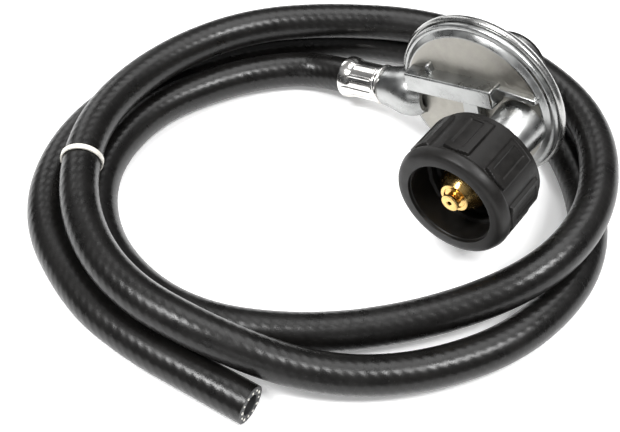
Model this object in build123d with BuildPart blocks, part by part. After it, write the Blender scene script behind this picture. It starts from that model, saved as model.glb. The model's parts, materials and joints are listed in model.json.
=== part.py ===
"""Propane regulator with a cylinder nut and a long bare-ended hose.

Units are millimetres. Z is up, the floor is z = 0 and the hose lies on it. The cylinder nut
opens towards -Y. The origin is the bottom centre of the regulator's own box (hose left out).
"""
from math import atan, cos, degrees, pi, radians, sin, tan
import os

from build123d import *

os.makedirs("parts", exist_ok=True)

# ---- driving dimensions ------------------------------------------------------------------
ROLL = 18.5                # the round casting leans this far about the inlet direction
INLET_X = 30.7             # inlet axis, parallel to Y
INLET_Z = 39.8
MOUTH_Y = -42.0            # mouth plane of the cylinder nut
DISC_X = 9.8               # centre of the round casting
DISC_Y = 9.0               # its front face
DISC_Z = 36.8
OUTLET_ROW = -3.2          # outlet axis below the centre of the round casting
OUTLET_DEPTH = 3.0         # outlet axis behind the front face
FLANGE_R = 35.05           # clamping flange of the body
RIM_R = 36.8               # rolled rim of the bonnet, stands on the floor
FACE_R = 31.2
SEAL_R = 32.1              # rear of the flange, where the diaphragm is clamped
CHAMBER_R = 27.5
FLANGE_T = 7.6
NUT_LENGTH = 29.0
NUT_LIP_R = 23.4
NUT_LUG_R = 23.6
THREAD_MINOR_R = 15.4
THREAD_MAJOR_R = 16.8      # 1-5/16 in cylinder thread
PROBE_R = 9.0
FERRULE_END = 66.4         # along the outlet axis, from the centre of the round casting
HOSE_R = 7.5
FIRST_RUN = 15.0
BORE_R = 3.97              # 5/16 in bore
END_LENGTH = 24.97         # bored straight piece at the cut end
DIAPHRAGM_TRAVEL = 1.5
SEAT_ARM = 5.6             # lever: pin to inlet axis

# ---- planes and axes ---------------------------------------------------------------------
C = cos(radians(ROLL))
S = sin(radians(ROLL))
FACE = Plane(origin=(DISC_X, DISC_Y, DISC_Z), x_dir=(C, 0, S), z_dir=(0, -1, 0))
DISC_SECTION = Plane(origin=(DISC_X, DISC_Y, DISC_Z), x_dir=(1, 0, 0), z_dir=(0, 0, 1))
DISC_AXIS = Axis((DISC_X, DISC_Y, DISC_Z), (0, 1, 0))
INLET_SECTION = Plane(origin=(INLET_X, MOUTH_Y, INLET_Z), x_dir=(1, 0, 0), z_dir=(0, 0, 1))
INLET_AXIS = Axis((INLET_X, MOUTH_Y, INLET_Z), (0, 1, 0))
INLET_FACE = Plane(origin=(INLET_X, MOUTH_Y, INLET_Z), x_dir=(1, 0, 0), z_dir=(0, 1, 0))
OUTLET_ORIGIN = FACE.from_local_coords(Vector(0, OUTLET_ROW, -OUTLET_DEPTH))
OUT_DIR = Vector(-C, 0, -S)
OUTLET_SECTION = Plane(origin=OUTLET_ORIGIN, x_dir=OUT_DIR, z_dir=(S, 0, -C))
OUTLET_AXIS = Axis(OUTLET_ORIGIN, OUT_DIR)
OUTLET_FACE = Plane(origin=OUTLET_ORIGIN, x_dir=(0, 1, 0), z_dir=OUT_DIR)

# the lever lies on the line from the inlet axis to the middle of the round casting
INLET_LOCAL = FACE.to_local_coords(Vector(INLET_X, DISC_Y, INLET_Z))
INLET_REACH = (INLET_LOCAL.X ** 2 + INLET_LOCAL.Y ** 2) ** 0.5
LEVER_ARM = INLET_REACH - SEAT_ARM
PIN_X = INLET_LOCAL.X * LEVER_ARM / INLET_REACH
PIN_Y = INLET_LOCAL.Y * LEVER_ARM / INLET_REACH
PIN_DEPTH = 5.7
PIN_POINT = FACE.from_local_coords(Vector(PIN_X, PIN_Y, -PIN_DEPTH))
LEVER_DIR = Vector(INLET_X, 0, INLET_Z) - Vector(DISC_X, 0, DISC_Z)
LEVER = Plane(origin=PIN_POINT, x_dir=LEVER_DIR.normalized(), z_dir=(0, -1, 0))
PIN_PLANE = Plane(origin=PIN_POINT, x_dir=LEVER_DIR.normalized(), z_dir=LEVER.y_dir)

# ---- body casting ------------------------------------------------------------------------
# profiles of turned pieces are (radius, depth) pairs; depth runs towards +Y
BODY_DISC = [
    (0, 0), (FACE_R, 0), (32.85, 1.9), (34.0, 2.1), (34.8, 2.6), (FLANGE_R, 3.3),
    (FLANGE_R, 5.8), (SEAL_R, 5.8), (SEAL_R, FLANGE_T), (CHAMBER_R, FLANGE_T), (CHAMBER_R, 2.6),
    (0, 2.6),
]
INLET_BOSS = [(0, 37.0), (9.1, 37.0), (9.5, 37.5), (10.5, 51.2), (10.5, 52.5), (0, 52.5)]
INLET_BORE = [(0, 36.0), (7.02, 36.0), (7.02, 48.6), (3.82, 48.6), (3.82, 55.0), (0, 55.0)]
BAR = [(-27, 5.25), (14, 5.25), (14, 13.6), (-27, 13.6)]
RIB = [(13.5, 10.0), (28.6, 8.2), (29.0, 10.6), (13.5, 12.6)]
GUSSET = [(-19, 13.0), (-16, 13.0), (-16.6, 17.2), (-18.4, 17.2)]
PAD = [(-1.9, 6.0), (-1.9, -14.0), (5.5, -14.0), (5.5, 6.0)]
WEB = [(17.0, -18.6), (24.0, -15.6), (27.6, -8.6), (22.0, -6.0), (15.0, -12.0)]
OUTLET_BOSS = [
    (21.0, 0), (22.5, 4.5), (25.0, 7.6), (28.0, 9.5), (31.0, 10.3), (35.0, 10.3), (38.5, 9.5),
    (42.0, 8.7), (45.1, 8.3), (45.8, 7.6), (45.8, 0),
]
ARROW = [(-33.0, 5.4), (-25.0, 6.0), (-22.0, 1.0), (-25.0, -8.0), (-33.0, -9.6)]

with BuildPart() as body_casting:
    with BuildSketch(OUTLET_SECTION):
        Polygon(*OUTLET_BOSS, align=None)
    revolve(axis=OUTLET_AXIS)
    with BuildSketch(FACE):
        Polygon(*ARROW, align=None)
    extrude(amount=5.0, taper=20)
    with BuildSketch(DISC_SECTION):
        Polygon((0, 0), (FLANGE_R, 0), (FLANGE_R, 4.1), (37.3, 4.1), (37.3, 16), (0, 16), align=None)
    revolve(axis=DISC_AXIS, mode=Mode.SUBTRACT)
    with BuildSketch(DISC_SECTION):
        Polygon(*BODY_DISC, align=None)
    revolve(axis=DISC_AXIS)
    with BuildSketch(INLET_SECTION):
        Polygon(*INLET_BOSS, align=None)
    revolve(axis=INLET_AXIS)
    with BuildSketch(FACE):
        Polygon(*BAR, align=None)
    extrude(amount=6.9, taper=5)
    with BuildSketch(FACE):
        Polygon(*RIB, align=None)
    extrude(amount=2.4, taper=5)
    with BuildSketch(FACE):
        Polygon(*GUSSET, align=None)
    extrude(amount=3.0, taper=8)
    with BuildSketch(FACE):
        Polygon(*PAD, align=None)
    extrude(amount=4.5, taper=5)
    with BuildSketch(FACE):
        Polygon(*WEB, align=None)
    extrude(amount=2.2, taper=8)
    with BuildSketch(INLET_SECTION):
        Polygon(*INLET_BORE, align=None)
    revolve(axis=INLET_AXIS, mode=Mode.SUBTRACT)
    with BuildSketch(OUTLET_SECTION):
        Polygon((26.0, 0), (26.0, 3.8), (38.0, 3.8), (38.0, 5.0), (46.5, 5.0), (46.5, 0), align=None)
    revolve(axis=OUTLET_AXIS, mode=Mode.SUBTRACT)
    with BuildSketch(LEVER.offset(PIN_DEPTH - 2.5)):
        with Locations((0, 3.75), (0, -3.75)):
            Rectangle(3.0, 2.0)
    extrude(amount=-4.6)
    with BuildSketch(PIN_PLANE.offset(-6.0)):
        Circle(1.01)
    extrude(amount=12.0, mode=Mode.SUBTRACT)
body_casting.part.label = "body_casting"
export_step(body_casting.part, "parts/body_casting.step")

# ---- bonnet, vent and adjusting screw ----------------------------------------------------
BONNET = [
    (35.15, 4.4), (35.9, 4.1), (36.5, 4.6), (RIM_R, 5.4), (RIM_R, 6.4), (36.3, 7.2),
    (33.9, 9.6), (26.5, 16.9), (15.0, 17.2), (13.5, 18.4), (13.5, 31.4), (11.2, 31.4),
    (11.2, 16.6), (22.5, 15.2), (28.5, 11.0), (28.5, 8.62), (32.2, 8.62), (32.2, 5.9),
    (35.15, 5.9),
]
VENT_ROW = -21.0

with BuildPart() as bonnet:
    with BuildSketch(DISC_SECTION):
        Polygon(*BONNET, align=None)
    revolve(axis=DISC_AXIS)
    with BuildSketch(FACE.offset(-15.9)):
        with Locations((0, VENT_ROW)):
            Circle(4.6)
    extrude(amount=-4.4)
    with BuildSketch(FACE.offset(-12.0)):
        with Locations((0, VENT_ROW)):
            Circle(2.8)
    extrude(amount=-9.0, mode=Mode.SUBTRACT)
bonnet.part.label = "bonnet"
export_step(bonnet.part, "parts/bonnet.step")

with BuildPart() as vent_screen:
    with BuildSketch(FACE.offset(-18.6)):
        with Locations((0, VENT_ROW)):
            Circle(2.79)
    extrude(amount=-0.5)
vent_screen.part.label = "vent_screen"
export_step(vent_screen.part, "parts/vent_screen.step")

SCREW = [
    (0, 28.2), (10.2, 28.2), (10.2, 26.4), (11.19, 26.4), (11.19, 30.6), (0, 30.6),
]
with BuildPart() as adjusting_screw:
    with BuildSketch(DISC_SECTION):
        Polygon(*SCREW, align=None)
    revolve(axis=DISC_AXIS)
    with BuildSketch(FACE.offset(-29.2)):
        RegularPolygon(radius=4.6, side_count=6)
    extrude(amount=-2.0, mode=Mode.SUBTRACT)
adjusting_screw.part.label = "adjusting_screw"
export_step(adjusting_screw.part, "parts/adjusting_screw.step")

CAP = [
    (0, 30.7), (11.1, 30.7), (11.1, 31.42), (13.5, 31.42), (13.5, 32.4), (12.9, 33.0), (0, 33.0),
]
with BuildPart() as bonnet_cap:
    with BuildSketch(DISC_SECTION):
        Polygon(*CAP, align=None)
    revolve(axis=DISC_AXIS)
bonnet_cap.part.label = "bonnet_cap"
export_step(bonnet_cap.part, "parts/bonnet_cap.step")

# ---- diaphragm, its plate and post, main spring ------------------------------------------
DIAPHRAGM = [
    (3.1, 7.65), (17.5, 7.65), (19.5, 9.6), (23.5, 9.6), (26.0, 7.65), (32.0, 7.65),
    (32.0, 8.55), (26.4, 8.55), (23.9, 10.5), (19.1, 10.5), (17.1, 8.55), (3.1, 8.55),
]
with BuildPart() as diaphragm:
    with BuildSketch(DISC_SECTION):
        Polygon(*DIAPHRAGM, align=None)
    revolve(axis=DISC_AXIS)
diaphragm.part.label = "diaphragm"
export_step(diaphragm.part, "parts/diaphragm.step")

PLATE = [
    (2.52, 9.0), (15.2, 9.0), (16.0, 9.8), (16.0, 12.0), (15.0, 12.0), (15.0, 10.2), (2.52, 10.2),
]
with BuildPart() as diaphragm_plate:
    with BuildSketch(DISC_SECTION):
        Polygon(*PLATE, align=None)
    revolve(axis=DISC_AXIS)
diaphragm_plate.part.label = "diaphragm_plate"
export_step(diaphragm_plate.part, "parts/diaphragm_plate.step")

POST = [
    (0, 3.6), (2.0, 3.6), (2.5, 4.1), (2.5, 10.22), (4.2, 10.22), (4.2, 11.2), (3.4, 11.9), (0, 11.9),
]
with BuildPart() as diaphragm_post:
    with BuildSketch(DISC_SECTION):
        Polygon(*POST, align=None)
    revolve(axis=DISC_AXIS)
    with BuildSketch(LEVER.offset(0.9)):
        with Locations((-LEVER_ARM, 0)):
            Rectangle(6.0, 3.4)
    extrude(amount=-1.8, mode=Mode.SUBTRACT)
diaphragm_post.part.label = "diaphragm_post"
export_step(diaphragm_post.part, "parts/diaphragm_post.step")

with BuildPart() as main_spring:
    with BuildLine() as main_path:
        Helix(pitch=3.5, height=14.0, radius=8.6, center=(DISC_X, DISC_Y + 11.17, DISC_Z),
              direction=(0, 1, 0))
    with BuildSketch(Plane(origin=main_path.line @ 0, z_dir=main_path.line % 0)):
        Circle(0.9)
    sweep(path=main_path.line, is_frenet=True)
main_spring.part.label = "main_spring"
export_step(main_spring.part, "parts/main_spring.step")

# ---- lever, seat and pin -----------------------------------------------------------------
with BuildPart() as lever:
    with BuildSketch(LEVER.offset(0.5)):
        with Locations((SEAT_ARM, 0)):
            Circle(3.0)
        Polygon((SEAT_ARM, -1.4), (SEAT_ARM, 1.4), (-LEVER_ARM - 1.3, 1.4),
                (-LEVER_ARM - 1.3, -1.4), align=None)
    extrude(amount=-1.0)
    with BuildSketch(LEVER.offset(1.5)):
        Rectangle(3.8, 4.9)
    extrude(amount=-3.0)
    with BuildSketch(PIN_PLANE.offset(-6.0)):
        Circle(1.05)
    extrude(amount=12.0, mode=Mode.SUBTRACT)
lever.part.label = "lever"
export_step(lever.part, "parts/lever.step")

with BuildPart() as seat_disc:
    with BuildSketch(LEVER.offset(0.52)):
        with Locations((SEAT_ARM, 0)):
            Circle(2.7)
    extrude(amount=1.3)
seat_disc.part.label = "seat_disc"
export_step(seat_disc.part, "parts/seat_disc.step")

with BuildPart() as lever_pin:
    with BuildSketch(PIN_PLANE.offset(-4.7)):
        Circle(1.0)
    extrude(amount=9.4)
lever_pin.part.label = "lever_pin"
export_step(lever_pin.part, "parts/lever_pin.step")

# ---- inlet nipple and what sits in and on it ---------------------------------------------
NIPPLE = [
    (0.8, 1.1), (3.3, 1.1), (3.55, 1.4), (3.55, 1.9), (2.8, 2.5), (2.8, 4.5), (4.3, 4.5),
    (4.3, 4.1), (5.4, 4.1), (5.9, 4.6), (9.2, 9.3), (9.2, 10.2), (PROBE_R, 10.6), (PROBE_R, 20.0),
    (8.1, 20.0), (8.1, 21.3), (PROBE_R, 21.3), (PROBE_R, 36.5), (6.98, 36.5), (6.98, 48.5),
    (3.8, 48.5), (3.8, 53.2), (2.3, 53.2), (2.1, 53.9), (1.3, 53.9), (1.3, 33.5), (3.2, 32.5),
    (3.2, 8.0), (1.6, 6.0), (1.6, 2.6), (0.8, 2.2),
]
with BuildPart() as inlet_nipple:
    with BuildSketch(INLET_SECTION):
        Polygon(*NIPPLE, align=None)
    revolve(axis=INLET_AXIS)
inlet_nipple.part.label = "inlet_nipple"
export_step(inlet_nipple.part, "parts/inlet_nipple.step")

with BuildPart() as nipple_gasket:
    with BuildSketch(INLET_SECTION):
        Polygon((7.05, 36.51), (8.9, 36.51), (8.9, 36.99), (7.05, 36.99), align=None)
    revolve(axis=INLET_AXIS)
nipple_gasket.part.label = "nipple_gasket"
export_step(nipple_gasket.part, "parts/nipple_gasket.step")

POPPET = [
    (0, 12.0), (1.2, 12.0), (2.9, 14.0), (2.9, 20.0), (1.4, 20.0), (1.4, 21.5), (0, 21.5),
]
with BuildPart() as flow_poppet:
    with BuildSketch(INLET_SECTION):
        Polygon(*POPPET, align=None)
    revolve(axis=INLET_AXIS)
flow_poppet.part.label = "flow_poppet"
export_step(flow_poppet.part, "parts/flow_poppet.step")

with BuildPart() as poppet_spring:
    with BuildLine() as poppet_path:
        Helix(pitch=1.6, height=9.6, radius=2.2, center=(INLET_X, MOUTH_Y + 20.37, INLET_Z),
              direction=(0, 1, 0))
    with BuildSketch(Plane(origin=poppet_path.line @ 0, z_dir=poppet_path.line % 0)):
        Circle(0.3)
    sweep(path=poppet_path.line, is_frenet=True)
poppet_spring.part.label = "poppet_spring"
export_step(poppet_spring.part, "parts/poppet_spring.step")

with BuildPart() as retaining_clip:
    with BuildSketch(INLET_SECTION):
        Polygon((8.12, 20.1), (11.4, 20.1), (11.4, 21.2), (8.12, 21.2), align=None)
    revolve(axis=INLET_AXIS, revolution_arc=300)
retaining_clip.part.label = "retaining_clip"
export_step(retaining_clip.part, "parts/retaining_clip.step")

with BuildPart() as thermal_bushing:
    with BuildSketch(INLET_SECTION):
        Polygon((9.08, 21.7), (12.6, 21.7), (12.6, 25.5), (9.08, 25.5), align=None)
    revolve(axis=INLET_AXIS)
thermal_bushing.part.label = "thermal_bushing"
export_step(thermal_bushing.part, "parts/thermal_bushing.step")

# ---- cylinder nut ------------------------------------------------------------------------
NUT = [
    (17.3, 0), (20.4, 0), (22.1, 0.5), (NUT_LIP_R, 4.0), (NUT_LIP_R, 4.6), (22.3, 6.0),
    (22.3, 26.2), (21.6, 27.2), (18.0, NUT_LENGTH), (9.6, NUT_LENGTH), (9.6, 25.9), (14.4, 25.9),
    (THREAD_MINOR_R, 24.6), (THREAD_MINOR_R, 22.6), (THREAD_MAJOR_R, 21.9), (THREAD_MAJOR_R, 20.1),
    (THREAD_MINOR_R, 19.4), (THREAD_MINOR_R, 17.5), (THREAD_MAJOR_R, 16.8), (THREAD_MAJOR_R, 15.0),
    (THREAD_MINOR_R, 14.3), (THREAD_MINOR_R, 12.4), (THREAD_MAJOR_R, 11.7), (THREAD_MAJOR_R, 9.9),
    (16.2, 9.4), (16.6, 2.0),
]
with BuildPart() as coupling_nut:
    with BuildSketch(INLET_SECTION):
        Polygon(*NUT, align=None)
    revolve(axis=INLET_AXIS)
    with BuildSketch(INLET_FACE.offset(3.6)):
        with PolarLocations(22.4, 8, start_angle=-24):
            Rectangle(2.4, 10.4)
    extrude(amount=22.8)
coupling_nut.part.label = "coupling_nut"
export_step(coupling_nut.part, "parts/coupling_nut.step")

# ---- hose barb, crimped ferrule, hose inside it ------------------------------------------
# (length along the outlet axis, radius) pairs
BARB = [
    (38.5, 2.6), (38.5, 4.98), (45.82, 4.98), (45.82, 7.8), (46.3, 8.4), (46.9, 8.55),
    (47.5, 8.4), (48.3, 7.6), (48.3, 4.0), (51.0, 4.0), (52.4, 4.32), (52.5, 4.0), (55.0, 4.0),
    (56.4, 4.32), (56.5, 4.0), (59.0, 4.0), (60.4, 4.32), (60.5, 4.0), (65.0, 4.0), (65.6, 3.5),
    (65.6, 2.6),
]
with BuildPart() as hose_barb:
    with BuildSketch(OUTLET_SECTION):
        Polygon(*BARB, align=None)
    revolve(axis=OUTLET_AXIS)
hose_barb.part.label = "hose_barb"
export_step(hose_barb.part, "parts/hose_barb.step")

SLEEVE = [
    (48.4, 4.4), (48.4, 7.5), (49.0, 7.9), (61.8, 7.9), (63.2, 8.5), (64.6, 8.95), (65.8, 8.95),
    (FERRULE_END, 8.5), (FERRULE_END, 7.3), (49.6, 7.3), (49.6, 4.4),
]
with BuildPart() as crimp_ferrule:
    with BuildSketch(OUTLET_SECTION):
        Polygon(*SLEEVE, align=None)
    revolve(axis=OUTLET_AXIS)
crimp_ferrule.part.label = "crimp_ferrule"
export_step(crimp_ferrule.part, "parts/crimp_ferrule.step")

with BuildPart() as hose_root:
    with BuildSketch(OUTLET_SECTION):
        Polygon((49.62, 4.37), (49.62, 7.28), (FERRULE_END, 7.28), (FERRULE_END, 4.37), align=None)
    revolve(axis=OUTLET_AXIS)
hose_root.part.label = "hose_root"
export_step(hose_root.part, "parts/hose_root.step")

# ---- free hose: straight runs joined by tangent arcs -------------------------------------
EXIT = OUTLET_ORIGIN + OUT_DIR * FERRULE_END
FIRST = EXIT + OUT_DIR * FIRST_RUN
EXIT_POINT = (EXIT.X, EXIT.Y, EXIT.Z)
FIRST_POINT = (FIRST.X, FIRST.Y, FIRST.Z)
ROUTE = [
    EXIT_POINT, FIRST_POINT, (-81.0, 2.5, 7.5), (-98.3, -20.3, 7.5),
    # first turn, on the floor, climbing beside the nut
    (-111.5, -54.4, 7.5), (-103.5, -93.5, 7.5), (-72.5, -119.5, 7.5), (-28.5, -123.5, 7.5),
    (14.0, -100.0, 7.8), (48.0, -66.0, 12.0), (71.0, -30.5, 21.5), (70.5, 8.0, 23.6),
    # second turn, lying on the others, coming down again at the front
    (47.5, 43.5, 23.3), (8.0, 56.6, 23.0), (-36.0, 51.0, 23.0), (-75.0, 26.5, 23.0),
    (-102.3, -1.5, 23.1), (-116.2, -41.0, 23.5), (-113.2, -82.3, 24.2), (-88.8, -116.3, 24.1),
    (-51.5, -133.5, 22.9), (-9.0, -128.9, 21.1), (27.0, -112.5, 10.0), (55.5, -87.0, 7.5),
    (76.5, -50.5, 7.5),
    # third turn, on the floor, out to the cut end
    (78.0, -6.0, 7.5), (52.0, 30.0, 7.5), (12.0, 53.0, 7.5), (-34.0, 53.5, 7.5),
    (-74.3, 32.2, 7.5), (-104.8, 2.9, 7.5), (-124.9, -38.0, 7.5), (-128.0, -84.3, 7.5),
    (-106.8, -122.3, 7.5), (-65.5, -139.6, 7.5), (-35.5, -140.8, 7.5), (-11.0, -137.9, 7.5),
]
POINTS = [Vector(*point) for point in ROUTE]
RUNS = [POINTS[i + 1] - POINTS[i] for i in range(len(POINTS) - 1)]
RADII = []
for before, after in zip(RUNS, RUNS[1:]):
    half_turn = radians(before.get_angle(after)) / 2
    shorter = min(before.length, after.length)
    RADII.append(0.45 * shorter / tan(half_turn))
print("hose bend radii:", [round(radius, 1) for radius in RADII])

with BuildPart() as hose:
    with BuildLine() as hose_path:
        FilletPolyline(*POINTS, radius=RADII)
    with BuildSketch(Plane(origin=hose_path.line @ 0, z_dir=hose_path.line % 0)):
        Circle(HOSE_R)
    sweep(path=hose_path.line)
hose.part.label = "hose"
export_step(hose.part, "parts/hose.step")
hose_length = sum(edge.length for edge in hose_path.line.edges())
section = pi * HOSE_R ** 2
print("hose length", round(hose_length, 1), "mm; volume / (section x length) =",
      round(hose.part.volume / (section * hose_length), 4))
print("whole hose with the bored end", round(hose_length + END_LENGTH, 1), "mm")

CUT_PLANE = Plane(origin=POINTS[-1], z_dir=RUNS[-1].normalized())
with BuildPart() as hose_end:
    with BuildSketch(CUT_PLANE):
        Circle(HOSE_R)
        Circle(BORE_R, mode=Mode.SUBTRACT)
    extrude(amount=END_LENGTH)
hose_end.part.label = "hose_end"
export_step(hose_end.part, "parts/hose_end.step")

# ---- strap round the raised turn ---------------------------------------------------------
TIE_RUN = POINTS[19] - POINTS[18]
TIE_MIDDLE = (POINTS[19] + POINTS[18]) * 0.5
TIE = Plane(origin=TIE_MIDDLE, x_dir=(0, 0, 1), z_dir=TIE_RUN.normalized())
TIE_WIDTH = 2.2
TIE_R = 8.45
with BuildPart() as cable_tie:
    with BuildSketch(TIE.offset(-TIE_WIDTH / 2)):
        Circle(TIE_R)
        Circle(TIE_R - 0.7, mode=Mode.SUBTRACT)
    extrude(amount=TIE_WIDTH)
cable_tie.part.label = "cable_tie"
export_step(cable_tie.part, "parts/cable_tie.step")

with BuildPart() as tie_head:
    with BuildSketch(TIE.offset(-2.2)):
        with Locations((-6.9, 6.9)):
            Rectangle(3.4, 4.4, rotation=-45)
        Circle(TIE_R + 0.01, mode=Mode.SUBTRACT)
    extrude(amount=4.4)
tie_head.part.label = "tie_head"
export_step(tie_head.part, "parts/tie_head.step")

print("cut end at", CUT_PLANE.from_local_coords(Vector(0, 0, END_LENGTH)),
      "pointing", RUNS[-1].normalized())
print("hose leaves the ferrule at", EXIT, "pin", PIN_POINT, "pin axis", LEVER.y_dir)
print("lever arm", round(LEVER_ARM, 3), "tie at", TIE_MIDDLE, TIE_RUN.normalized())
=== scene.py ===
"""Propane regulator with a cylinder nut and a coiled hose, lit on a pale floor."""

import json
from math import cos, pi, radians, sin

import bmesh
import bpy
from mathutils import Matrix, Vector


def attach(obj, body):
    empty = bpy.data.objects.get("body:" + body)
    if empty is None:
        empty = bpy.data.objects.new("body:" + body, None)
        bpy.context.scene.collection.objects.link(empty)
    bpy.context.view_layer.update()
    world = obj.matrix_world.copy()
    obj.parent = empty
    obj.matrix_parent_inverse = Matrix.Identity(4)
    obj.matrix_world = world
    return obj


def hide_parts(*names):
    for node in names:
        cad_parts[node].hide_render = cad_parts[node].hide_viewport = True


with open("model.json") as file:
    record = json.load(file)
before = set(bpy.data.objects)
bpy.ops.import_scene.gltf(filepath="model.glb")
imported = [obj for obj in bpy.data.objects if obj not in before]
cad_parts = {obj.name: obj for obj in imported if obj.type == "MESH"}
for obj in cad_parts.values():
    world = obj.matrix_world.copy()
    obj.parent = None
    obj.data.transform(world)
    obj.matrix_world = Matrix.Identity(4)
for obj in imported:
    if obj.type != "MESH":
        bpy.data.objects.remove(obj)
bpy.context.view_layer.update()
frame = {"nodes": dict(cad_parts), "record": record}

MM = 0.001                                # every length below is in millimetres unless it says otherwise
ROLL = radians(18.5)                      # how far the regulator leans over on its side
INLET = Vector((30.7, -42.0, 39.8))       # middle of the nut's open end
DISC = Vector((9.8, 9.0, 36.8))           # middle of the round casting's face
OUTLET_ROW = -3.2                         # the outlet's axis, up the face from the middle
OUTLET_DEPTH = 3.0                        # and behind the face
FERRULE_END = 66.4                        # where the hose comes out, along the outlet
FACE_X = Vector((cos(ROLL), 0, sin(ROLL)))
FACE_Y = Vector((-sin(ROLL), 0, cos(ROLL)))
BACK = Vector((0, 1, 0))
OUT = -FACE_X
OUTLET = DISC + FACE_Y * OUTLET_ROW + BACK * OUTLET_DEPTH
EXIT = OUTLET + OUT * FERRULE_END


# ---- small helpers -----------------------------------------------------------------------
def node_tree(name):
    material = bpy.data.materials.new(name)
    material.use_nodes = True
    nodes = material.node_tree.nodes
    return material, nodes, material.node_tree.links, nodes["Principled BSDF"]


def noise(nodes, links, scale, detail=4.0, vector=None, rough=0.6):
    texture = nodes.new("ShaderNodeTexNoise")
    texture.inputs["Scale"].default_value = scale
    texture.inputs["Detail"].default_value = detail
    texture.inputs["Roughness"].default_value = rough
    if vector is None:
        coords = nodes.new("ShaderNodeTexCoord")
        vector = coords.outputs["Object"]
    links.new(vector, texture.inputs["Vector"])
    return texture.outputs["Fac"]


def ramp(nodes, links, source, stops):
    node = nodes.new("ShaderNodeValToRGB")
    elements = node.color_ramp.elements
    while len(elements) < len(stops):
        elements.new(0.5)
    for element, (place, colour) in zip(elements, stops):
        element.position = place
        element.color = (*colour, 1.0)
    links.new(source, node.inputs["Fac"])
    return node.outputs["Color"]


def span(nodes, links, source, low, high, source_low=0.3, source_high=0.7):
    node = nodes.new("ShaderNodeMapRange")
    node.inputs["From Min"].default_value = source_low
    node.inputs["From Max"].default_value = source_high
    node.inputs["To Min"].default_value = low
    node.inputs["To Max"].default_value = high
    links.new(source, node.inputs["Value"])
    return node.outputs["Result"]


def math(nodes, links, operation, a, b=None):
    node = nodes.new("ShaderNodeMath")
    node.operation = operation
    for socket, value in zip(node.inputs, (a, b)):
        if value is None:
            continue
        if isinstance(value, (int, float)):
            socket.default_value = value
        else:
            links.new(value, socket)
    return node.outputs[0]


def bump(nodes, links, shader, height, distance, strength=1.0, below=None):
    node = nodes.new("ShaderNodeBump")
    node.inputs["Distance"].default_value = distance
    node.inputs["Strength"].default_value = strength
    links.new(height, node.inputs["Height"])
    if below is not None:
        links.new(below, node.inputs["Normal"])
    links.new(node.outputs["Normal"], shader.inputs["Normal"])
    return node.outputs["Normal"]


def streaks(nodes, links, scale, stretch):
    """Noise drawn out along one direction of the object, for machining and draw marks."""
    coords = nodes.new("ShaderNodeTexCoord")
    mapping = nodes.new("ShaderNodeMapping")
    mapping.inputs["Scale"].default_value = stretch
    links.new(coords.outputs["Object"], mapping.inputs["Vector"])
    return noise(nodes, links, scale, 5.0, mapping.outputs["Vector"])


def finish_mesh(obj, material, sharp=30.0):
    mesh = obj.data
    mesh.materials.clear()
    mesh.materials.append(material)
    for polygon in mesh.polygons:
        polygon.use_smooth = True
    mesh.set_sharp_from_angle(angle=radians(sharp))
    return obj


def make(name, vertices, faces, material, sharp=30.0):
    mesh = bpy.data.meshes.new(name)
    mesh.from_pydata([tuple(v * MM) for v in vertices], [], faces)
    mesh.update()
    work = bmesh.new()
    work.from_mesh(mesh)
    bmesh.ops.remove_doubles(work, verts=work.verts, dist=1e-7)
    bmesh.ops.recalc_face_normals(work, faces=work.faces)
    work.to_mesh(mesh)
    work.free()
    obj = bpy.data.objects.new(name, mesh)
    bpy.context.collection.objects.link(obj)
    return finish_mesh(obj, material, sharp)


def lathe(name, origin, axis, stations, material, segments=160, closed=True, sharp=30.0,
          reference=Vector((1, 0, 0))):
    """Stations are (radius, depth); either may be a function of the angle."""
    axis = axis.normalized()
    across = (reference - axis * reference.dot(axis)).normalized()
    side = axis.cross(across)
    vertices = []
    for radius, depth in stations:
        for i in range(segments):
            angle = 2 * pi * i / segments
            r = radius(angle) if callable(radius) else radius
            d = depth(angle) if callable(depth) else depth
            vertices.append(origin + axis * d + (across * cos(angle) + side * sin(angle)) * r)
    faces = []
    count = len(stations)
    for k in range(count if closed else count - 1):
        a = k * segments
        b = ((k + 1) % count) * segments
        for i in range(segments):
            j = (i + 1) % segments
            faces.append((a + i, a + j, b + j, b + i))
    return make(name, vertices, faces, material, sharp)


def prism(name, origin, x_dir, y_dir, outline, low, high, material, draft=0.0, bevel=0.5):
    """A flat outline raised from low to high along x_dir x y_dir, its walls drawn in by draft."""
    up = x_dir.cross(y_dir)
    middle = sum((Vector(p) for p in outline), Vector((0, 0))) / len(outline)
    vertices = []
    for height, shrink in ((low, 0.0), (high, draft)):
        for point in outline:
            p = Vector(point)
            inward = middle - p
            p = p + inward.normalized() * shrink
            vertices.append(origin + x_dir * p.x + y_dir * p.y + up * height)
    n = len(outline)
    faces = [tuple(range(n - 1, -1, -1)), tuple(range(n, 2 * n))]
    for i in range(n):
        j = (i + 1) % n
        faces.append((i, j, n + j, n + i))
    obj = make(name, vertices, faces, material, 40.0)
    if bevel:
        modifier = obj.modifiers.new("edge", "BEVEL")
        modifier.width = bevel * MM
        modifier.segments = 3
        modifier.limit_method = "ANGLE"
        modifier.angle_limit = radians(25)
        modifier.harden_normals = False
    return obj


# ---- materials ---------------------------------------------------------------------------
def zinc(name, rough_low, rough_high, grain, colour):
    material, nodes, links, shader = node_tree(name)
    shader.inputs["Metallic"].default_value = 1.0
    cloud = noise(nodes, links, 120.0, 5.0)
    fine = noise(nodes, links, 1900.0, 3.0)
    dark = tuple(c * 0.72 for c in colour)
    links.new(ramp(nodes, links, cloud, [(0.3, dark), (0.62, colour)]), shader.inputs["Base Color"])
    links.new(span(nodes, links, cloud, rough_low, rough_high), shader.inputs["Roughness"])
    first = bump(nodes, links, shader, fine, grain * MM, 0.9)
    pits = noise(nodes, links, 520.0, 4.0)
    bump(nodes, links, shader, pits, grain * 2.0 * MM, 0.7, first)
    return material


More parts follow.
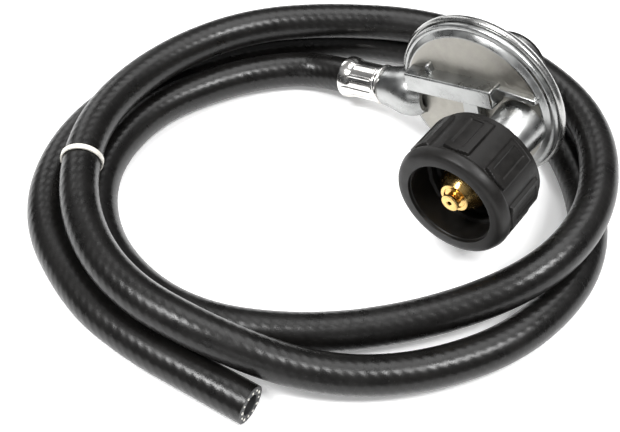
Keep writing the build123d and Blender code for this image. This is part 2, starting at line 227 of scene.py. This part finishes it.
FACE_ZINC = zinc("cast_face", 0.40, 0.58, 0.060, (0.40, 0.385, 0.35))
SMOOTH_ZINC = zinc("cast_smooth", 0.22, 0.40, 0.020, (0.40, 0.405, 0.40))
RIM_ZINC = zinc("rolled_rim", 0.18, 0.34, 0.016, (0.44, 0.44, 0.43))


def plastic_material():
    material, nodes, links, shader = node_tree("nut_plastic")
    cloud = noise(nodes, links, 300.0, 5.0)
    stops = [(0.3, (0.0045, 0.0040, 0.0036)), (0.7, (0.0085, 0.0076, 0.0068))]
    links.new(ramp(nodes, links, cloud, stops), shader.inputs["Base Color"])
    links.new(span(nodes, links, cloud, 0.36, 0.50), shader.inputs["Roughness"])
    shader.inputs["Specular IOR Level"].default_value = 0.28
    fine = noise(nodes, links, 2600.0, 3.0)
    bump(nodes, links, shader, fine, 0.03 * MM, 0.6)
    return material


def brass_material():
    material, nodes, links, shader = node_tree("brass")
    shader.inputs["Metallic"].default_value = 1.0
    turned = streaks(nodes, links, 60.0, (1.0, 45.0, 1.0))
    stain = noise(nodes, links, 260.0, 5.0)
    links.new(ramp(nodes, links, stain, [(0.3, (0.56, 0.34, 0.10)), (0.65, (0.80, 0.56, 0.23))]),
              shader.inputs["Base Color"])
    links.new(span(nodes, links, stain, 0.16, 0.32), shader.inputs["Roughness"])
    bump(nodes, links, shader, turned, 0.03 * MM, 0.8)
    return material


def nickel_material():
    material, nodes, links, shader = node_tree("nickel")
    shader.inputs["Metallic"].default_value = 1.0
    cloud = noise(nodes, links, 240.0, 4.0)
    links.new(ramp(nodes, links, cloud, [(0.3, (0.60, 0.58, 0.55)), (0.7, (0.80, 0.79, 0.77))]),
              shader.inputs["Base Color"])
    links.new(span(nodes, links, cloud, 0.10, 0.22), shader.inputs["Roughness"])
    bump(nodes, links, shader, noise(nodes, links, 1400.0), 0.008 * MM, 0.6)
    return material


def hose_material():
    """UV x is the turn round the hose and UV y the distance along it in millimetres."""
    material, nodes, links, shader = node_tree("hose_rubber")
    uv = nodes.new("ShaderNodeUVMap")
    split = nodes.new("ShaderNodeSeparateXYZ")
    links.new(uv.outputs["UV"], split.inputs["Vector"])
    round_it = split.outputs["X"]
    along = split.outputs["Y"]
    # cloth-wrap marks: a fine spiral of ridges crossed by a steeper, fainter one
    lead = math(nodes, links, "ADD", math(nodes, links, "DIVIDE", along, 2.9),
                math(nodes, links, "MULTIPLY", round_it, 5.0))
    saw = math(nodes, links, "FRACT", lead)
    cross = math(nodes, links, "SUBTRACT", math(nodes, links, "DIVIDE", along, 4.1),
                 math(nodes, links, "MULTIPLY", round_it, 9.0))
    wave = math(nodes, links, "SINE", math(nodes, links, "MULTIPLY", cross, 2 * pi))
    cloud = noise(nodes, links, 90.0, 4.0)
    patchy = span(nodes, links, cloud, 0.35, 1.0)
    height = math(nodes, links, "ADD", math(nodes, links, "MULTIPLY", saw, patchy),
                  math(nodes, links, "MULTIPLY", wave, 0.22))
    first = bump(nodes, links, shader, height, 0.13 * MM, 0.75)
    fine = noise(nodes, links, 2200.0, 3.0)
    bump(nodes, links, shader, fine, 0.05 * MM, 0.6, first)
    dust = noise(nodes, links, 3400.0, 1.0)
    specks = span(nodes, links, dust, 0.0, 1.0, 0.745, 0.80)
    blend = nodes.new("ShaderNodeMix")
    blend.data_type = "RGBA"
    links.new(specks, blend.inputs["Factor"])
    stops = [(0.3, (0.0032, 0.0030, 0.0028)), (0.7, (0.0062, 0.0057, 0.0053))]
    links.new(ramp(nodes, links, cloud, stops), blend.inputs[6])
    blend.inputs[7].default_value = (0.16, 0.16, 0.15, 1.0)
    links.new(blend.outputs[2], shader.inputs["Base Color"])
    links.new(span(nodes, links, cloud, 0.24, 0.36), shader.inputs["Roughness"])
    shader.inputs["Specular IOR Level"].default_value = 0.34
    return material


def simple_material(name, colour, roughness, metallic=0.0, grain=0.02, scale=1500.0):
    material, nodes, links, shader = node_tree(name)
    cloud = noise(nodes, links, 350.0, 4.0)
    dark = tuple(c * 0.8 for c in colour)
    links.new(ramp(nodes, links, cloud, [(0.3, dark), (0.7, colour)]), shader.inputs["Base Color"])
    links.new(span(nodes, links, cloud, roughness * 0.85, roughness * 1.15),
              shader.inputs["Roughness"])
    shader.inputs["Metallic"].default_value = metallic
    bump(nodes, links, shader, noise(nodes, links, scale, 3.0), grain * MM, 0.6)
    return material


PLASTIC = plastic_material()
BRASS = brass_material()
NICKEL = nickel_material()
HOSE = hose_material()
RUBBER = simple_material("plain_rubber", (0.02, 0.02, 0.021), 0.6)
YARN = simple_material("yarn", (0.78, 0.76, 0.70), 0.8, grain=0.05)
TIE = simple_material("tie_nylon", (0.80, 0.77, 0.70), 0.38)
STEEL = simple_material("spring_steel", (0.55, 0.55, 0.56), 0.28, 1.0)
BUSHING = simple_material("bushing_plastic", (0.05, 0.16, 0.06), 0.4)

BY_SLOT = {
    "cast_zinc": SMOOTH_ZINC, "plated_steel": NICKEL, "brass": BRASS, "black_plastic": PLASTIC,
    "black_rubber": RUBBER, "inner_rubber": RUBBER, "spring_steel": STEEL, "white_nylon": TIE,
    "sealant_ring": BUSHING,
}
for part in frame["record"]["subparts"]:
    node = frame["nodes"].get(part["node"])
    if node is not None:
        node.data.materials.clear()
        node.data.materials.append(BY_SLOT[part["material_slot"]])

# ---- round casting -----------------------------------------------------------------------
FACE_R = 30.6                             # the flat part of the face
disc = lathe("casting_disc", DISC, BACK, [
    (0.01, 0.0), (FACE_R, 0.0), (31.0, 0.05), (31.3, 0.25), (32.6, 1.55), (32.85, 1.85), (33.1, 2.0),
    (33.7, 2.0), (34.1, 2.1), (34.6, 2.4), (34.95, 2.9), (35.05, 3.4), (35.05, 5.8), (32.1, 5.8),
    (32.1, 7.6), (27.5, 7.6), (27.5, 2.6), (0.01, 2.6),
], SMOOTH_ZINC, 256)
disc.data.materials.append(FACE_ZINC)
for polygon in disc.data.polygons:
    middle = polygon.center / MM - DISC
    if middle.y < 0.03 and Vector((middle.x, middle.z)).length < FACE_R:
        polygon.material_index = 1
casting = [disc]


def on_face(name, outline, low, high, draft, bevel):
    """A raised shape on the face; its outline is (across, up) from the middle of the face."""
    casting.append(prism(name, DISC, FACE_X, FACE_Y, outline, low, high, SMOOTH_ZINC, draft, bevel))


on_face("casting_bar", [(-27, 5.25), (14, 5.25), (14.6, 6.5), (14.2, 13.6), (-27, 13.6)], -1.0, 6.8,
        draft=0.55, bevel=0.75)
on_face("casting_rib", [(13.5, 9.6), (30.2, 7.9), (30.6, 10.2), (13.5, 12.4)], -1.0, 2.3,
        draft=0.35, bevel=0.6)
on_face("casting_gusset", [(-19, 13.0), (-15.6, 13.0), (-16.6, 17.2), (-18.4, 17.2)], -1.0, 2.8,
        draft=0.4, bevel=0.6)
on_face("casting_pad", [(-1.9, 6.0), (-1.9, -14.0), (5.5, -14.0), (5.5, 6.0)], -1.0, 4.4,
        draft=0.25, bevel=0.45)
on_face("casting_web", [(17.0, -18.6), (24.0, -15.6), (27.6, -8.6), (22.0, -6.0), (15.0, -12.0)],
        -1.0, 2.1, draft=0.3, bevel=0.5)
inlet_boss = lathe("casting_inlet_boss", INLET, BACK, [
    (7.05, 37.02), (8.9, 37.02), (9.2, 37.1), (9.45, 37.5), (10.4, 49.6), (10.5, 50.2), (10.5, 52.4),
    (7.05, 52.4),
], SMOOTH_ZINC, 128)
casting.append(inlet_boss)

outlet_boss = lathe("casting_outlet_boss", OUTLET, OUT, [
    (5.05, 24.0), (7.0, 24.0), (8.2, 26.0), (9.4, 28.2), (10.1, 30.4), (10.3, 32.6), (10.25, 34.8),
    (9.85, 37.0), (9.3, 39.2), (8.85, 41.5), (8.55, 43.5), (8.4, 44.6), (8.2, 45.2), (7.7, 45.65),
    (7.2, 45.78), (5.05, 45.78),
], SMOOTH_ZINC, 160, reference=FACE_Y, sharp=40.0)
casting.append(outlet_boss)
for piece in casting:
    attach(piece, "regulator")
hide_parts("body_casting")

# ---- bonnet ------------------------------------------------------------------------------
rim = lathe("bonnet_shell", DISC, BACK, [
    (35.12, 4.6), (35.3, 4.25), (35.8, 4.12), (36.3, 4.45), (36.65, 4.95), (36.8, 5.5), (36.8, 6.1),
    (36.65, 6.7), (36.2, 7.3), (33.9, 9.6), (27.2, 16.3), (26.4, 16.8), (15.4, 17.1),
    (14.2, 17.6), (13.5, 18.6), (13.5, 31.2), (13.3, 31.4), (11.2, 31.4), (11.2, 16.6),
    (22.5, 15.2), (28.5, 11.0), (28.5, 8.7), (32.2, 8.6), (32.2, 5.9), (35.12, 5.9),
], RIM_ZINC, 256)
vent = lathe("bonnet_vent", DISC + FACE_Y * -21.0, BACK, [
    (2.85, 15.6), (4.6, 15.6), (4.6, 19.9), (4.3, 20.25), (3.1, 20.25), (2.85, 20.0),
], RIM_ZINC, 64)
for piece in (rim, vent):
    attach(piece, "regulator")
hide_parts("bonnet")

# ---- cylinder nut ------------------------------------------------------------------------
LUGS = 8
PITCH = 2 * pi / LUGS
LUG_TURN = radians(-24)
NUT_R = 22.3                              # between the pads
NUT_LIP_R = 23.38                         # the ring round the open end


def edge(value, start, width):
    """0 below start, 1 above start + width, smooth between."""
    t = min(max((value - start) / width, 0.0), 1.0)
    return t * t * (3 - 2 * t)


def nut_radius(angle, depth):
    """Outside of the nut behind its lip: pads, a pocket in each, and a groove between them."""
    a = (angle - LUG_TURN) % PITCH / PITCH          # 0 to 1 across one lug
    base = NUT_R
    front = 4.9 + 1.2 * abs(a - 0.32) / 0.30
    pad = edge(a, 0.02, 0.04) * (1 - edge(a, 0.60, 0.04)) * edge(depth, front, 0.4)
    pad *= 1 - edge(depth, 23.4, 1.6)
    pocket = edge(a, 0.14, 0.03) * (1 - edge(a, 0.42, 0.03)) * edge(depth, 8.0, 0.3)
    pocket *= 1 - edge(depth, 21.6, 0.4)
    groove_front = 6.2 + 2.6 * (abs(a - 0.81) / 0.15) ** 2
    groove = edge(a, 0.66, 0.045) * (1 - edge(a, 0.93, 0.045)) * edge(depth, groove_front, 0.9)
    lip = 1 - edge(depth, 4.4, 0.9)
    rear = edge(depth, 22.6, 4.0)
    radius = base + 1.3 * pad - 0.55 * pocket * pad - 1.15 * groove * (1 - rear) - 0.9 * rear
    return max(radius, base + (NUT_LIP_R - base) * lip)


THREAD_LEAD = 5.08                        # five threads to the inch
THREAD_R = 16.75                          # root of the thread


def thread_radius(angle, depth):
    phase = ((depth - 9.3) / THREAD_LEAD - angle / (2 * pi)) % 1.0
    crest = edge(phase, 0.08, 0.10) * (1 - edge(phase, 0.50, 0.10))
    inside = edge(depth, 9.4, 1.6) * (1 - edge(depth, 22.6, 0.6))
    return THREAD_R - 1.35 * crest * inside - 1.2 * edge(depth, 22.6, 0.8)


segments = 560
stations = [(17.3, 0.25), (17.45, 0.02), (17.9, 0.0), (19.9, 0.0), (20.4, 0.05), (21.4, 0.25),
            (22.1, 0.62), (22.5, 1.2), (23.0, 2.4), (23.3, 3.3), (NUT_LIP_R, 3.8)]
step = 0.28
depth = 4.3
while depth < 26.7:
    stations.append((lambda angle, d=depth: nut_radius(angle, d), depth))
    depth += step
stations += [(21.2, 26.9), (20.8, 27.5), (18.6, 28.8), (18.0, 29.0), (10.0, 29.0), (9.62, 28.7),
             (9.62, 26.1), (9.7, 25.95), (14.4, 25.95), (15.0, 25.2), (15.4, 24.2)]
depth = 23.8
while depth > 8.8:
    stations.append((lambda angle, d=depth: thread_radius(angle, d), depth))
    depth -= step
stations += [(THREAD_R, 8.7), (16.8, 5.0), (16.85, 2.6), (16.95, 1.5), (17.25, 1.2), (17.3, 1.0)]
nut = lathe("cylinder_nut", INLET, BACK, stations, PLASTIC, segments, sharp=38.0)
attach(nut, "nut")
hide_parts("coupling_nut")

# ---- brass nipple ------------------------------------------------------------------------
nipple = lathe("brass_nipple", INLET, BACK, [
    (0.8, 1.5), (0.85, 1.15), (1.0, 1.1), (3.2, 1.1), (3.45, 1.18), (3.55, 1.4), (3.55, 1.85),
    (3.4, 2.05), (2.85, 2.3), (2.8, 2.6), (2.8, 4.4), (4.25, 4.55), (4.35, 4.2), (4.5, 4.1),
    (5.3, 4.1), (5.7, 4.2), (5.9, 4.55), (6.05, 4.8), (9.0, 9.1), (9.2, 9.5), (9.2, 10.1),
    (9.0, 10.5), (9.0, 20.0), (8.1, 20.0), (8.1, 21.3), (9.0, 21.3), (9.0, 36.3), (8.8, 36.49),
    (6.98, 36.49), (6.98, 48.5), (3.8, 48.5), (3.8, 53.2), (2.3, 53.2), (2.1, 53.9), (1.3, 53.9),
    (1.3, 33.5), (3.2, 32.5), (3.2, 8.0), (1.6, 6.0), (1.6, 2.6), (0.8, 2.2),
], BRASS, 160)
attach(nipple, "regulator")
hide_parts("inlet_nipple")

# ---- barb collar and crimped ferrule -----------------------------------------------------
collar = lathe("barb_collar", OUTLET, OUT, [
    (2.6, 38.5), (4.95, 38.5), (4.95, 45.85), (7.3, 45.85), (7.75, 46.0), (8.2, 46.3), (8.48, 46.7),
    (8.54, 47.1), (8.48, 47.5), (8.2, 47.9), (7.7, 48.2), (7.0, 48.3), (4.0, 48.3), (4.0, 51.0),
    (4.3, 52.4), (4.0, 52.5), (4.0, 55.0), (4.3, 56.4), (4.0, 56.5), (4.0, 59.0), (4.3, 60.4),
    (4.0, 60.5), (4.0, 65.0), (3.5, 65.6), (2.6, 65.6),
], NICKEL, 128)
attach(collar, "regulator")
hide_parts("hose_barb")


def crimped(angle, radius, deep, narrow=0.0):
    """Eight flats pressed in by the crimping jaws, with a narrow ridge between them."""
    local = (angle % (pi / 4)) / (pi / 4)
    flat = edge(local, 0.05 + narrow, 0.07) * (1 - edge(local, 0.88 - narrow, 0.07))
    return radius - deep * flat


def crimp_station(radius, place, deep, narrow=0.0):
    return (lambda angle: crimped(angle, radius, deep, narrow), place)


ferrule = lathe("hose_ferrule", OUTLET, OUT, [
    (4.45, 48.45), (6.9, 48.45), (7.25, 48.6), (7.45, 48.95), (7.5, 49.4),
    crimp_station(7.75, 49.9, 0.22), crimp_station(7.86, 50.4, 0.34),
    crimp_station(7.9, 54.0, 0.38), crimp_station(7.9, 60.2, 0.38),
    crimp_station(7.94, 60.9, 0.36, 0.02), crimp_station(8.1, 61.5, 0.3, 0.05),
    crimp_station(8.45, 62.4, 0.22, 0.08), crimp_station(8.75, 63.4, 0.16, 0.1),
    crimp_station(8.9, 64.4, 0.10, 0.1), crimp_station(8.95, 65.3, 0.06, 0.1),
    (8.95, 65.9), (8.86, 66.2), (8.65, 66.36), (8.3, 66.4), (8.0, 66.3), (7.8, 65.9),
    (7.6, 64.9), (7.34, 63.9), (7.34, 49.55), (4.45, 49.55),
], NICKEL, 320, reference=FACE_Y, sharp=26.0)
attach(ferrule, "regulator")
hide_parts("crimp_ferrule")

# ---- hose --------------------------------------------------------------------------------
ROUTE = [
    tuple(EXIT), tuple(EXIT + OUT * 15.0), (-81.0, 2.5, 7.5), (-98.3, -20.3, 7.5),
    (-111.5, -54.4, 7.5), (-103.5, -93.5, 7.5), (-72.5, -119.5, 7.5), (-28.5, -123.5, 7.5),
    (14.0, -100.0, 7.8), (48.0, -66.0, 12.0), (71.0, -30.5, 21.5), (70.5, 8.0, 23.6),
    (47.5, 43.5, 23.3), (8.0, 56.6, 23.0), (-36.0, 51.0, 23.0), (-75.0, 26.5, 23.0),
    (-102.3, -1.5, 23.1), (-116.2, -41.0, 23.5), (-113.2, -82.3, 24.2), (-88.8, -116.3, 24.1),
    (-51.5, -133.5, 22.9), (-9.0, -128.9, 21.1), (27.0, -112.5, 10.0), (55.5, -87.0, 7.5),
    (76.5, -50.5, 7.5),
    (78.0, -6.0, 7.5), (52.0, 30.0, 7.5), (12.0, 53.0, 7.5), (-34.0, 53.5, 7.5),
    (-74.3, 32.2, 7.5), (-104.8, 2.9, 7.5), (-124.9, -38.0, 7.5), (-128.0, -84.3, 7.5),
    (-106.8, -122.3, 7.5), (-65.5, -139.6, 7.5), (-35.5, -140.8, 7.5), (-11.0, -137.9, 7.5),
    (13.797, -134.965, 7.5),
]
HOSE_R = 7.48
BORE_R = 4.0
STEP_ALONG = 1.5                          # from one ring of the hose's mesh to the next


def spline_points(route):
    curve = bpy.data.curves.new("hose_line", "CURVE")
    curve.dimensions = "3D"
    spline = curve.splines.new("NURBS")
    spline.points.add(len(route) - 1)
    for point, place in zip(spline.points, route):
        point.co = (place[0] * MM, place[1] * MM, place[2] * MM, 1.0)
    spline.order_u = 3
    spline.use_endpoint_u = True
    spline.resolution_u = 16
    holder = bpy.data.objects.new("hose_line", curve)
    bpy.context.collection.objects.link(holder)
    bpy.context.view_layer.update()
    line = bpy.data.meshes.new_from_object(holder)
    points = [v.co.copy() for v in line.vertices]
    bpy.data.objects.remove(holder)
    bpy.data.meshes.remove(line)
    bpy.data.curves.remove(curve)
    return points


def resample(points, spacing):
    lengths = [0.0]
    for a, b in zip(points, points[1:]):
        lengths.append(lengths[-1] + (b - a).length)
    count = round(lengths[-1] / spacing)
    result = []
    k = 0
    for i in range(count + 1):
        want = lengths[-1] * i / count
        while k < len(points) - 2 and lengths[k + 1] < want:
            k += 1
        share = (want - lengths[k]) / max(lengths[k + 1] - lengths[k], 1e-12)
        result.append(points[k].lerp(points[k + 1], min(max(share, 0.0), 1.0)))
    return result, lengths[-1]


def hose_mesh(name, path, length, around):
    """Tube along path, closed round the cut end by a ring and 24 mm of bore."""
    tangents = []
    for i in range(len(path)):
        a = path[max(i - 1, 0)]
        b = path[min(i + 1, len(path) - 1)]
        tangents.append((b - a).normalized())
    normal = Vector((0, 0, 1))
    frames = []
    for tangent in tangents:
        normal = (normal - tangent * normal.dot(tangent)).normalized()
        frames.append((normal.copy(), tangent.cross(normal)))
    rings = []
    step = length / (len(path) - 1)
    for i, centre in enumerate(path):
        rings.append((centre, frames[i], HOSE_R * MM, i * step / MM))
    last = path[-1]
    end_frame = frames[-1]
    along = tangents[-1]
    total = length / MM
    rings[-1] = (last - along * 0.12 * MM, end_frame, HOSE_R * MM, total)
    for radius, back in ((HOSE_R - 0.25, 0.0), (6.6, -0.02), (5.4, 0.05), (BORE_R + 0.25, 0.0),
                         (BORE_R, 0.25), (BORE_R, 6.0), (BORE_R, 24.0), (0.05, 24.2)):
        rings.append((last - along * back * MM, end_frame, radius * MM, total + 1.0))
    work = bmesh.new()
    layer = work.loops.layers.uv.new("UVMap")
    grid = []
    for centre, (n, s), radius, _ in rings:
        row = []
        for j in range(around):
            angle = 2 * pi * j / around
            row.append(work.verts.new(centre + (n * cos(angle) + s * sin(angle)) * radius))
        grid.append(row)
    for i in range(len(rings) - 1):
        for j in range(around):
            k = (j + 1) % around
            face = work.faces.new((grid[i][j], grid[i][k], grid[i + 1][k], grid[i + 1][j]))
            face.smooth = True
            face.material_index = 0 if i < len(path) else 1
            corners = ((j, i), (j + 1, i), (j + 1, i + 1), (j, i + 1))
            for loop, (turn, ring) in zip(face.loops, corners):
                loop[layer].uv = (turn / around, rings[ring][3])
    start = work.faces.new(list(reversed(grid[0])))
    start.material_index = 1
    bmesh.ops.recalc_face_normals(work, faces=work.faces)
    mesh = bpy.data.meshes.new(name)
    work.to_mesh(mesh)
    work.free()
    mesh.materials.append(HOSE)
    mesh.materials.append(RUBBER)
    mesh.set_sharp_from_angle(angle=radians(40))
    obj = bpy.data.objects.new(name, mesh)
    bpy.context.collection.objects.link(obj)
    return obj


line = spline_points(ROUTE)
path, hose_length = resample(line, STEP_ALONG * MM)
hose = hose_mesh("rubber_hose", path, hose_length, 56)
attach(hose, "regulator")
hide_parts("hose", "hose_end")

cut = path[-1]
cut_dir = (path[-1] - path[-3]).normalized()
cut_up = Vector((0, 0, 1))
cut_side = cut_dir.cross(cut_up)
yarn_work = bmesh.new()
YARNS = 12
for i in range(YARNS):
    angle = 2 * pi * (i + 0.3) / YARNS
    radius = (5.55 + 0.18 * sin(i * 2.1)) * MM
    centre = cut + (cut_up * cos(angle) + cut_side * sin(angle)) * radius - cut_dir * 0.05 * MM
    size = (0.52 + 0.12 * sin(i * 3.7)) * MM
    place = Matrix.Translation(centre) @ Matrix.Diagonal((size, size, size, 1.0))
    bmesh.ops.create_icosphere(yarn_work, subdivisions=2, radius=1.0, matrix=place)
low_limit = cut + cut_dir * 0.25 * MM
yarn_mesh = bpy.data.meshes.new("yarn_ends")
for vertex in yarn_work.verts:
    over = (vertex.co - low_limit).dot(cut_dir)
    if over > 0:
        vertex.co -= cut_dir * over
yarn_work.to_mesh(yarn_mesh)
yarn_work.free()
yarns = bpy.data.objects.new("yarn_ends", yarn_mesh)
bpy.context.collection.objects.link(yarns)
finish_mesh(yarns, YARN, 50.0)
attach(yarns, "regulator")

# ---- cable tie ---------------------------------------------------------------------------
before_tie, after_tie = Vector(ROUTE[18]), Vector(ROUTE[19])
tie_at = (before_tie + after_tie) / 2
tie_dir = (after_tie - before_tie).normalized()


def ladder(angle):
    """The fine teeth round the outside of the band."""
    return 8.39 + 0.05 * sin(angle * 56)


band = lathe("tie_band", tie_at, tie_dir, [
    (7.78, -1.08), (8.32, -1.08), (8.43, -0.98), (8.43, -0.7), (ladder, -0.55), (ladder, 0.55),
    (8.43, 0.7), (8.43, 0.98), (8.32, 1.08), (7.78, 1.08),
], TIE, 448, reference=Vector((0, 0, 1)))
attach(band, "regulator")
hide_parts("cable_tie")

# ---- floor, light and camera -------------------------------------------------------------
# places and sizes in this section are in metres
floor_mesh = bpy.data.meshes.new("floor")
floor_mesh.from_pydata([(-6, -6, 0), (6, -6, 0), (6, 6, 0), (-6, 6, 0)], [], [(0, 1, 2, 3)])
floor = bpy.data.objects.new("floor", floor_mesh)
bpy.context.collection.objects.link(floor)
floor.location.z = -0.0002
paper, _, _, paper_shader = node_tree("paper")
paper_shader.inputs["Base Color"].default_value = (0.93, 0.93, 0.93, 1.0)
paper_shader.inputs["Roughness"].default_value = 0.8
paper_shader.inputs["Specular IOR Level"].default_value = 0.1
paper_shader.inputs["Emission Color"].default_value = (1.0, 1.0, 1.0, 1.0)
paper_shader.inputs["Emission Strength"].default_value = 0.25
floor_mesh.materials.append(paper)


def area(name, place, target, size, power, size_y=None):
    """A white rectangle of light turned towards target; power is in watts."""
    light = bpy.data.lights.new(name, "AREA")
    light.shape = "RECTANGLE"
    light.size = size
    light.size_y = size_y or size
    light.energy = power
    obj = bpy.data.objects.new(name, light)
    bpy.context.collection.objects.link(obj)
    obj.location = place
    obj.rotation_euler = (Vector(target) - Vector(place)).to_track_quat("-Z", "Y").to_euler()


aim = (-0.02, -0.04, 0.02)
area("left_front", (-0.27, -0.51, 0.93), aim, 0.26, 9.0)
area("right_high", (0.50, 0.0, 0.98), aim, 0.26, 9.0)
area("overhead", (-0.15, 0.35, 1.1), aim, 0.7, 6.0)
area("low_left", (-1.0, 0.3, 0.55), aim, 0.4, 2.0, 0.6)
area("front", (0.35, -1.0, 0.35), aim, 0.6, 1.0, 0.3)

world = bpy.data.worlds.new("studio")
bpy.context.scene.world = world
world.use_nodes = True
world_nodes = world.node_tree.nodes
world_links = world.node_tree.links
background = world_nodes["Background"]
background.inputs["Strength"].default_value = 0.5
coords = world_nodes.new("ShaderNodeTexCoord")
split = world_nodes.new("ShaderNodeSeparateXYZ")
world_links.new(coords.outputs["Generated"], split.inputs["Vector"])
sky = ramp(world_nodes, world_links, split.outputs["Z"], [
    (0.0, (0.45, 0.45, 0.45)), (0.08, (0.22, 0.22, 0.23)), (0.30, (0.13, 0.14, 0.15)),
    (0.55, (0.55, 0.55, 0.56)), (1.0, (0.95, 0.95, 0.95)),
])
world_links.new(sky, background.inputs["Color"])

camera_data = bpy.data.cameras.new("camera")
camera_data.lens = 60.97
camera_data.sensor_width = 36.0
camera_data.sensor_fit = "HORIZONTAL"
camera_data.clip_start = 0.01
camera_data.clip_end = 20
camera_data.dof.use_dof = False
camera = bpy.data.objects.new("camera", camera_data)
bpy.context.collection.objects.link(camera)
camera.location = (0.1361, -0.2589, 0.33565)
look = Vector((-0.0246, -0.05175, 0.0)) - camera.location
camera.rotation_euler = look.to_track_quat("-Z", "Y").to_euler()
bpy.context.scene.camera = camera
bpy.context.scene.view_settings.view_transform = "Standard"
bpy.context.scene.view_settings.look = "None"
bpy.context.scene.view_settings.exposure = 0.0
